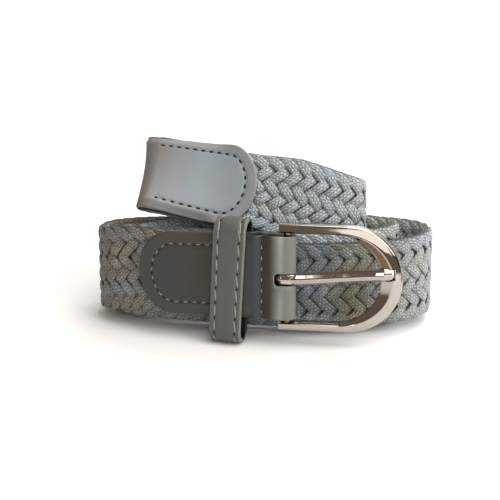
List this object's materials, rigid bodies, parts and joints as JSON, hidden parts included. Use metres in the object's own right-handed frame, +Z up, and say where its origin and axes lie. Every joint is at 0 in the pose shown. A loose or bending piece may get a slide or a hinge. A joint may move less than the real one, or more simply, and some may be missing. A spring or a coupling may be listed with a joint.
{
  "type": "elastic belt",
  "caption": "Grey braided elastic belt with leather ends, rolled up on its edge: horseshoe buckle with prong in front, loose keeper loop, leather tip raised on top.",
  "frame": {"origin": "middle of the rolled belt's outline on the floor that it stands on", "axes": "+Z up, -Y towards the buckle side, +X towards the buckle's round end, along the roll's length"},
  "size_m": [0.142, 0.0728, 0.0717],
  "materials": {
    "braid_cord": "matt braided cord",
    "tab_leather": "smooth satin",
    "tip_leather": "smooth satin",
    "nickel": "polished warm nickel"
  },
  "bodies": {
    "belt": {"braided_band": "braid_cord", "buckle_tab": "tab_leather", "tip_tab": "tip_leather", "keeper_loop": "tab_leather"},
    "frame": {"buckle_frame": "nickel"},
    "prong": {"prong": "nickel"}
  },
  "joints": [
    {"name": "frame_swing", "type": "hinge", "parent": "belt", "child": "frame", "pos_m": [0.00865, -0.02715, 0.02984], "axis": [0, -0.1269, -0.9919], "range_deg": [0, 40]},
    {"name": "prong_lift", "type": "hinge", "parent": "frame", "child": "prong", "pos_m": [0.00865, -0.02715, 0.02984], "axis": [0, -0.1269, -0.9919], "range_deg": [0, 70]}
  ]
}
